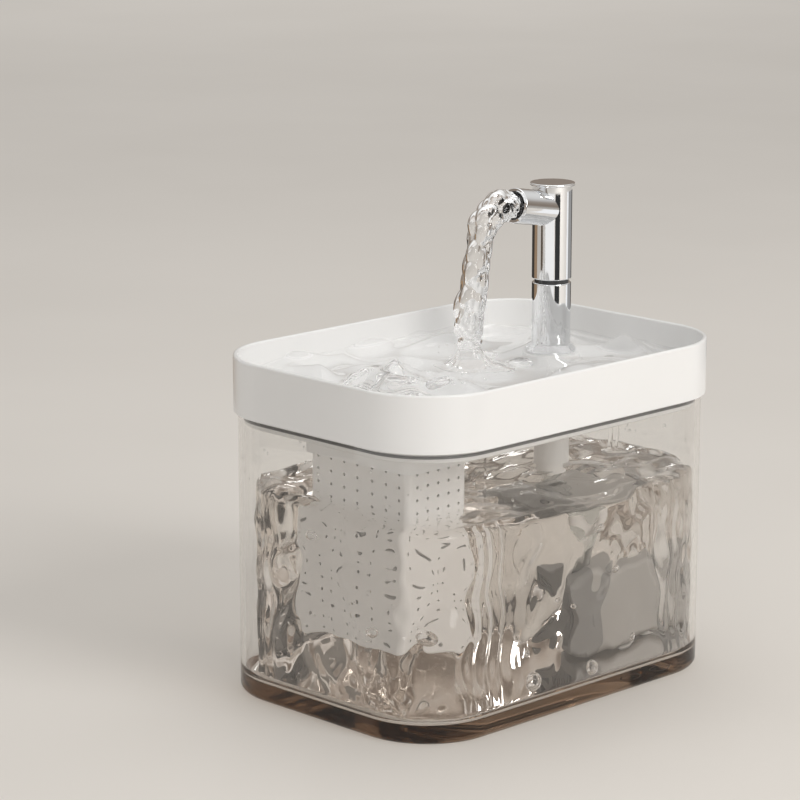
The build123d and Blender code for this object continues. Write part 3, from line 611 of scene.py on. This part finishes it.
# Swells: centre, half lengths, turn in degrees, height.
swells = (
    (-54, -48, 9, 17, -10, 4.2), (-57, -6, 8, 20, 6, 4.0), (-36, -64, 18, 8, 14, 2.6),
    (2, -56, 24, 7, -20, 4.6), (26, -42, 13, 7, 34, 3.6), (-14, -38, 16, 6, 24, 3.0),
    (-20, -12, 20, 6, 34, 2.4), (-38, 26, 8, 24, -12, 3.0), (22, 76, 19, 8, -30, 3.6),
    (45, 14, 8, 22, 12, 2.6), (38, -14, 7, 16, -20, 2.0), (-14, 72, 16, 9, 10, 2.2),
    (-24, -66, 10, 6, -30, 2.6))
swell_gain = 1.65
# The crests of the breaking wave in front, as lines of places.
crests = (((-9, -62), (-5, -53), (-7, -41), (-15, -27), (-2, -24)),
          ((13, -62), (26, -54), (32, -45)))


def distance_to(x, y, line):
    """How far a place is from a line of places."""
    shortest = math.inf
    for (ax, ay), (bx, by) in zip(line, line[1:]):
        t = ((x - ax) * (bx - ax) + (y - ay) * (by - ay)) / ((bx - ax) ** 2 + (by - ay) ** 2)
        t = min(max(t, 0), 1)
        shortest = min(shortest, math.hypot(x - ax - t * (bx - ax), y - ay - t * (by - ay)))
    return shortest


def tray_surface(x, y):
    """The tray water's surface: swells, a breaking crest in front and a rise at the faucet."""
    z = tray_mean - 1.5
    z += 1.5 * wave(x, y * 0.8, 0, 38, 12.4)
    ridge = wave(x * 0.8 + y * 0.35, y * 0.9 - x * 0.3, 0, 33, 2.9)
    z += 2.1 * (0.8 - 1.9 * math.sqrt(ridge * ridge + 0.004))
    z += 0.14 * wave(x, y, 0, 9, 5.2)
    for cx, cy, rx, ry, turn, height in swells:
        angle = math.radians(turn)
        u = (x - cx) * math.cos(angle) + (y - cy) * math.sin(angle)
        v = -(x - cx) * math.sin(angle) + (y - cy) * math.cos(angle)
        z += swell_gain * height * math.exp(-(u / rx) ** 2 - (v / ry) ** 2)
    off = min(distance_to(x, y, line) for line in crests)
    z += (4.6 + 1.6 * wave(x, y, 0, 10, 3.3)) * near(off, 0, 3.3)
    from_foot = math.hypot(x - foot_x, y - foot_y)
    z += (tray_mean + 0.6 - z) * math.exp(-(from_foot / 20) ** 4)
    z += 0.5 * math.cos(from_foot / 2.4) * math.exp(-abs(from_foot - 20) / 6)
    z -= 2.4 * smoothstep(y, 64, 92) * (1 - smoothstep(x, 0, 50) * 0.4)
    # The surface eases to a stop before it would bare the ledge.
    lowest = ledge_level + 1.1
    z = lowest + 0.5 * (z - lowest + math.hypot(z - lowest, 1.6))
    from_faucet = math.hypot(x - faucet_x, y - faucet_y)
    z += 3.6 * math.exp(-max(from_faucet - 8.6, 0) / 4.2)
    for cx, cy, radius, height in surface_bubbles:
        z += height * math.exp(-((x - cx) ** 2 + (y - cy) ** 2) / radius ** 2 / 0.9)
    wall = min(tray_half_x - abs(x), tray_half_y - abs(y))
    z += 0.7 * math.exp(-max(wall - rim_wall, 0) / 1.6)
    return min(z, tray_highest)


def add_tray_bubbles(verts, faces):
    """Air in the tray's water: two large bubbles, flat pockets and a fine scatter."""
    flatness = 0.5
    for cx, cy, radius, _ in surface_bubbles:
        level = tray_surface(cx, cy) - 0.55 - flatness * radius
        ball(verts, faces, (cx, cy, level), radius, inward=True, segments=36,
             flatten=(1.0, 1.0, flatness))
    for cx, cy, radius in air_pockets:
        first = len(verts)
        ball(verts, faces, (cx, cy, 0), radius, inward=True, segments=44,
             flatten=(1.0, 1.0, 1.5 / radius))
        for index in range(first, len(verts)):
            x, y, thick = verts[index]
            ragged = 1 + 0.35 * wave(x, y, 0, 8, 4.4)
            x, y = cx + (x - cx) * ragged, cy + (y - cy) * ragged
            verts[index] = (x, y, tray_surface(x, y) - 2.4 + thick)
    rng = random.Random(21)
    for _ in range(60):
        cx = 6 + rng.gauss(0, 16)
        cy = -38 + rng.gauss(0, 13)
        radius = rng.uniform(0.25, 0.6)
        if math.hypot(cx / 60, cy / 85) < 0.95:
            ball(verts, faces, (cx, cy, tray_surface(cx, cy) - 0.8 - radius), radius,
                 inward=True, segments=8)


def make_tray_water():
    """The tray's water: it fills the basin, spreads over the ledge and ends at the rim."""
    inset = rim_wall - into_wall
    outer, _ = rounded_outline((0, 0), tray_half_x - inset, tray_half_y - inset,
                               tray_corner - inset, 1.3)
    inner_inset = basin_wall_inset - into_wall
    inner = outer * np.array([(tray_half_x - inner_inset) / (tray_half_x - inset),
                              (tray_half_y - inner_inset) / (tray_half_y - inset)])
    floor = basin_floor_level - into_floor
    rows = [[(x * k, y * k, floor) for x, y in inner] for k in (0.1, 0.5, 0.93)]
    rows.append([(x * 0.985, y * 0.985, floor + 1.0) for x, y in inner])
    rows.append([(x, y, floor + 4.0) for x, y in inner])
    rows.append([(x, y, ledge_level - 0.3) for x, y in inner])
    rows.append([(x, y, ledge_level - 0.2) for x, y in outer])
    rings = 60
    for ring in range(rings):
        scale = 1 - ring / rings
        rows.append([(x * scale, y * scale, tray_surface(x * scale, y * scale))
                     for x, y in outer])
    verts, faces = ringed_skin(rows)
    add_tray_bubbles(verts, faces)
    mesh_object("tray_water", verts, faces, basin_water, "tray")


# --- the falling stream -------------------------------------------------------------
# Places along the middle of the stream, from inside the spout to its foot, and its radii there.
stream_path = [(0, 33.0, 200.95), (0, 28.6, 201.7), (0, 24.3, 202.5), (0, 19.6, 203.0),
               (0, 15.2, 202.7), (0, 11.0, 201.0), (0, 7.6, 197.9), (0, 5.2, 193.4),
               (0, 3.3, 187.8), (0, 1.8, 182.0), (0, 0.4, 176.0), (0, -0.7, 169.5),
               (0, -1.5, 162.5), (0, -2.0, 155.5), (0, -2.1, 150.0), (0, -2.1, 147.2)]
stream_radii = [4.9, 5.0, 5.3, 6.0, 6.3, 6.2, 6.1, 6.0, 5.8, 5.9, 6.1, 6.2, 6.1, 5.9, 5.5, 4.9]
# The rings that close its foot: level and radius.
stream_end = ((146.5, 5.4), (145.8, 5.2), (145.2, 4.7), (144.7, 3.9), (144.4, 2.8), (144.2, 1.4))


def catmull(points, t):
    """A smooth curve through points, with t from 0 to 1 along it."""
    points = np.array(points, float)
    place = t * (len(points) - 1)
    i = min(int(place), len(points) - 2)
    u = place - i
    p0, p1 = points[max(i - 1, 0)], points[i]
    p2, p3 = points[i + 1], points[min(i + 2, len(points) - 1)]
    return 0.5 * (2 * p1 + (p2 - p0) * u + (2 * p0 - 5 * p1 + 4 * p2 - p3) * u * u
                  + (3 * p1 - p0 - 3 * p2 + p3) * u ** 3)


def stream_lump(turn, along, mouth):
    """How far the stream's side stands out: bulges on its outer side, a cord on its inner."""
    c, s = math.cos(turn), math.sin(turn)
    outer = 0.5 + 0.5 * math.sin(turn + 0.35)
    lump = outer * (3.2 * domes(c * 6, s * 6, along * 0.80, 6.6, 3.3) - 1.5)
    lump += 0.45 * wave(c * 6, s * 6, along * 0.5, 6.0, 1.9)
    lump += 0.7 * (1 - outer) * near(math.sin(turn + 1.0), -1, 0.12)
    lump += mouth * 0.9 * wave(c * 6, s * 6, along, 2.6, 8.8)
    return lump


def turns_of(count):
    """Evenly spaced angles of one full turn."""
    return [2 * math.pi * k / count for k in range(count)]


def make_stream():
    """The stream, as one closed skin from inside the spout to its rounded foot."""
    steps, length = 170, 92
    turns = turns_of(72)
    rings = []
    for step in range(steps + 1):
        t = step / steps
        centre = catmull(stream_path, t)
        ahead = catmull(stream_path, min(t + 0.01, 1)) - catmull(stream_path, max(t - 0.01, 0))
        ahead /= np.linalg.norm(ahead)
        across = np.array([1.0, 0.0, 0.0])
        up = np.cross(ahead, across)
        radius = float(catmull([(r, 0, 0) for r in stream_radii], t)[0])
        outside = smoothstep(t, 0.11, 0.2)
        ending = 1 - smoothstep(t, 0.93, 1.0)
        mouth = near(t, 0.17, 0.09)
        row = []
        for turn in turns:
            lump = stream_lump(turn, t * length, mouth) * (0.25 + 0.75 * outside)
            reach = radius + lump * (0.2 + 0.8 * ending)
            row.append(centre + reach * (across * math.cos(turn) + up * math.sin(turn)))
        rings.append(row)
    # The foot closes in a slanted, rounded end just over the surface.
    for level, radius in stream_end:
        rings.append([(foot_x + radius * math.cos(turn), foot_y - radius * math.sin(turn),
                       level - 0.22 * radius * math.sin(turn)) for turn in turns])
    verts, faces = ringed_skin(rings)
    mesh_object("water_stream", verts, [tuple(reversed(f)) for f in faces], fresh_water,
                "faucet_head")


def make_skirt():
    """A thin film of water that spreads from the stream's foot down to the surface."""
    count, steps, thick = 96, 26, 0.4
    spread, foot_radius, foot_height = 14.5, 4.7, 7.9
    turns = turns_of(count)
    outer, inner = [], []
    for step in range(steps + 1):
        t = step / steps
        out = spread * t ** 1.25
        top, under = [], []
        for turn in turns:
            c, s = math.cos(turn), math.sin(turn)
            # It reaches less far ahead, so that it clears the tray's rim when the spout turns.
            ragged = 1 + 0.28 * wave(c * 9, s * 9, 0, 5.0, 7.3) * t
            reach = foot_radius + out * (0.73 + 0.22 * s) * ragged
            rib = wave(c * 9, s * 9, 0, 2.6, 2.5) * t * (1 - t) * 4
            x, y = foot_x + reach * c, foot_y + reach * s
            level = tray_mean + 0.3 + foot_height * math.exp(-out / 4.6) - 1.3 * t + 1.1 * rib
            top.append((x, y, level))
            under.append((x - thick * 0.6 * c, y - thick * 0.6 * s, level - thick * 0.8))
        outer.append(top)
        inner.append(under)
    rings = outer + inner[::-1]
    verts = [point for ring in rings for point in ring]
    faces = []
    for r in range(len(rings)):
        a, b = r * count, (r + 1) % len(rings) * count
        for i in range(count):
            j = (i + 1) % count
            faces.append((a + i, b + i, b + j, a + j))
    mesh_object("splash_skirt", verts, faces, fresh_water, "faucet_head")


def make_splash():
    """Droplets thrown up where the stream lands."""
    rng = random.Random(7)
    verts, faces = [], []
    for _ in range(34):
        turn = rng.uniform(0, 2 * math.pi)
        out = rng.uniform(7.5, 15)
        z = tray_mean + 3.2 + rng.random() ** 2 * 8
        radius = rng.uniform(0.22, 0.6)
        ball(verts, faces, (foot_x + out * math.cos(turn), foot_y + 0.8 * out * math.sin(turn),
                            z), radius, segments=10)
    mesh_object("splash_droplets", verts, faces, fresh_water, "faucet_head")


def make_return_thread():
    """Two thin threads of water that fall from the tray's return hole into the tank."""
    steps, top = 36, 116.8
    verts, faces = [], []
    for x0, y0, thick in ((11.2, 75.2, 1.25), (13.1, 77.4, 0.8)):
        rings = []
        bottom = water_top(x0, y0) - 1.5
        for step in range(steps + 1):
            t = step / steps
            z = top + (bottom - top) * t
            radius = thick * (1.25 - 0.55 * t) + 0.22 * wave(0, z, x0, 4.0)
            radius += 1.6 * thick * smoothstep(t, 0.93, 1.0)
            bend = 0.35 * wave(0, 0, z, 9.0, x0)
            rings.append([(x0 + bend + radius * math.cos(a), y0 + radius * math.sin(a), z)
                          for a in np.linspace(2 * math.pi, 0, 16, endpoint=False)])
        v, f = ringed_skin(rings)
        first = len(verts)
        verts += v
        faces += [tuple(first + i for i in face) for face in f]
    mesh_object("return_thread", verts, faces, fresh_water, "tray")


def make_wall_droplets():
    """Droplets that cling to the tank's inner wall over the water."""
    rng = random.Random(11)
    verts, faces = [], []
    outline, normals = rounded_outline((0, 0), tank_high.x - tank_wall,
                                       tank_high.y - tank_wall, tank_inner_corner, 1.0)
    for _ in range(90):
        i = rng.randrange(len(outline))
        (x, y), n = outline[i], normals[i]
        z = 94 + 20 * rng.random() ** 1.6
        radius = rng.uniform(0.25, 0.75)
        ball(verts, faces, (x - n[0] * radius * 0.35, y - n[1] * radius * 0.35, z), radius,
             flatten=(0.8, 0.8, 1.15), segments=10)
    mesh_object("wall_droplets", verts, faces, fresh_water, "tank")


make_tank_water()
make_tray_water()
make_stream()
make_skirt()
make_splash()
make_return_thread()
make_wall_droplets()


# --- floor, light and camera --------------------------------------------------------
def make_floor():
    """A plain pale floor, a hair under the tank."""
    material, shader = new_material("studio_floor")
    mottle = object_noise(material, 3.0, detail=3.0)
    link(material, ramp(material, mottle.outputs["Fac"],
                        [(0.35, (0.755, 0.72, 0.675)), (0.65, (0.78, 0.745, 0.70))]),
         shader.inputs["Base Color"])
    shader.inputs["Roughness"].default_value = 0.9
    shader.inputs["Specular IOR Level"].default_value = 0.0
    half = 9.0
    mesh = bpy.data.meshes.new("studio_floor")
    mesh.from_pydata([(-half, -half, 0), (half, -half, 0), (half, half, 0), (-half, half, 0)],
                     [], [(0, 1, 2, 3)])
    floor = bpy.data.objects.new("studio_floor", mesh)
    mesh.materials.append(material)
    floor.location.z = -0.0002
    scene.collection.objects.link(floor)


# Name, place, target, size, power, colour, and whether reflections show it. The last sparkle
# stands far behind, so that its plane draws no band across the floor.
lights = (
    ("key", (1.5, 0.15, 0.98), (0, 0, 0.08), (0.6, 0.8), 12.5, (1.0, 0.985, 0.965), True),
    ("sparkle_0", (1.6, -0.35, 0.45), (0, 0, 0.06), (0.12, 0.16), 1.3, (1, 1, 1), True),
    ("sparkle_1", (0.55, -1.7, 0.6), (0, 0, 0.06), (0.12, 0.16), 1.3, (1, 1, 1), True),
    ("sparkle_2", (-2.6, 2.4, 1.3), (0, 0, 0.06), (0.27, 0.36), 6.5, (1, 1, 1), False),
    ("top", (-0.25, 0.35, 1.6), (0, 0, 0.1), (1.0, 1.0), 4, (1.0, 0.99, 0.98), True))


def add_area_light(name, place, target, size, power, colour, reflected):
    """A softbox that faces its target."""
    data = bpy.data.lights.new(name, "AREA")
    data.shape = "RECTANGLE"
    data.size, data.size_y = size
    data.energy = power
    data.color = colour
    light = bpy.data.objects.new(name, data)
    light.location = place
    direction = Vector(target) - Vector(place)
    light.rotation_euler = direction.to_track_quat("-Z", "Y").to_euler()
    light.visible_glossy = reflected
    scene.collection.objects.link(light)


# The cards round the faucet: name, where they start and end in degrees anticlockwise from +X,
# and colour.
cards = (
    ("card_back", 99, 193, (0.05, 0.045, 0.04)), ("card_brown", 193, 220, (0.32, 0.22, 0.14)),
    ("card_left", 247, 260.6, (0.10, 0.075, 0.055)),
    ("card_white", 261, 326, (0.97, 0.96, 0.94)), ("card_front", 331, 359.4, (0.04, 0.04, 0.04)),
    ("card_right", 42.6, 60, (1.0, 1.0, 1.0)), ("card_grey", 60, 99, (0.34, 0.335, 0.33)))
card_radius_m, card_low_m, card_high_m = 0.20, 0.096, 0.175


def add_card(name, start, end, colour):
    """A curved studio card that stands round the faucet and is seen only in reflections."""
    material, shader = new_material(name)
    material.node_tree.nodes.remove(shader)
    glow = add(material, "ShaderNodeEmission", Color=(*colour, 1), Strength=1.0)
    link(material, glow.outputs["Emission"],
         material.node_tree.nodes["Material Output"].inputs["Surface"])
    steps = max(2, round((end - start) / 6))
    verts, faces = [], []
    for i in range(steps + 1):
        angle = math.radians(start + (end - start) * i / steps)
        x = card_radius_m * math.cos(angle)
        y = faucet_y * MM + card_radius_m * math.sin(angle)
        verts += [(x, y, card_low_m), (x, y, card_high_m)]
    for i in range(steps):
        faces.append((2 * i, 2 * i + 2, 2 * i + 3, 2 * i + 1))
    mesh = bpy.data.meshes.new(name)
    mesh.from_pydata(verts, [], faces)
    mesh.materials.append(material)
    card = bpy.data.objects.new(name, mesh)
    scene.collection.objects.link(card)
    card.visible_camera = card.visible_diffuse = card.visible_transmission = False
    card.visible_shadow = card.visible_volume_scatter = False


# What chrome and water see round the object: sine of the height over the floor, and colour.
reflected_tones = ((0.0, (0.32, 0.285, 0.25)), (0.10, (0.24, 0.195, 0.16)),
                   (0.28, (0.33, 0.29, 0.255)), (0.46, (0.66, 0.65, 0.635)),
                   (0.72, (0.96, 0.955, 0.94)))
refracted_tones = ((0.0, (0.86, 0.84, 0.82)), (0.12, (0.68, 0.64, 0.60)),
                   (0.26, (0.50, 0.43, 0.37)), (0.32, (0.20, 0.15, 0.115)),
                   (0.42, (0.22, 0.175, 0.14)), (0.50, (1.0, 0.99, 0.98)))


def make_world():
    """Pale to the camera; what chrome reflects and water bends is a softly banded studio."""
    world = bpy.data.worlds.new("studio")
    scene.world = world
    world.use_nodes = True
    world.node_tree.nodes.clear()
    coordinates = add(world, "ShaderNodeTexCoord")
    axes = add(world, "ShaderNodeSeparateXYZ")
    link(world, coordinates.outputs["Generated"], axes.inputs["Vector"])
    reflected, refracted = add(world, "ShaderNodeBackground"), add(world, "ShaderNodeBackground")
    for tone, stops in ((reflected, reflected_tones), (refracted, refracted_tones)):
        link(world, ramp(world, axes.outputs["Z"], stops), tone.inputs["Color"])
    backdrop = add(world, "ShaderNodeBackground", Color=(0.80, 0.79, 0.77, 1))
    shaders = add(world, "ShaderNodeBackground", Color=(1.0, 0.985, 0.965, 1), Strength=0.54)
    path = add(world, "ShaderNodeLightPath")
    for ray, seen in (("Is Glossy Ray", reflected), ("Is Transmission Ray", refracted),
                      ("Is Camera Ray", backdrop)):
        mix = add(world, "ShaderNodeMixShader")
        link(world, path.outputs[ray], mix.inputs[0])
        link(world, shaders.outputs[0], mix.inputs[1])
        link(world, seen.outputs[0], mix.inputs[2])
        shaders = mix
    output = add(world, "ShaderNodeOutputWorld")
    link(world, shaders.outputs[0], output.inputs["Surface"])


def make_camera():
    """The camera fitted to the photo: its lens, its axes and its place."""
    data = bpy.data.cameras.new("camera")
    data.sensor_width = 36.0
    data.lens = 145.376
    data.clip_start, data.clip_end = 0.05, 60.0
    camera = bpy.data.objects.new("camera", data)
    back = Vector((0.69365911, -0.68462547, 0.22388615))
    right = Vector((0.70228651, 0.71189365, 0.00104113))
    up = back.cross(right)
    place = Vector((0.93482929, -0.96613542, 0.43005981))
    camera.matrix_world = Matrix((
        (right.x, up.x, back.x, place.x), (right.y, up.y, back.y, place.y),
        (right.z, up.z, back.z, place.z), (0, 0, 0, 1)))
    scene.collection.objects.link(camera)
    scene.camera = camera


make_floor()
make_world()
make_camera()
for row in lights:
    add_area_light(*row)
for row in cards:
    add_card(*row)
scene.view_settings.view_transform = "Standard"
# Light needs many bounces to find its way out of the tank's thick clear base.
scene.cycles.max_bounces = 42
scene.cycles.transmission_bounces = 40
scene.cycles.glossy_bounces = 24
scene.cycles.diffuse_bounces = 4
scene.cycles.transparent_max_bounces = 32
scene.cycles.sample_clamp_indirect = 6.0
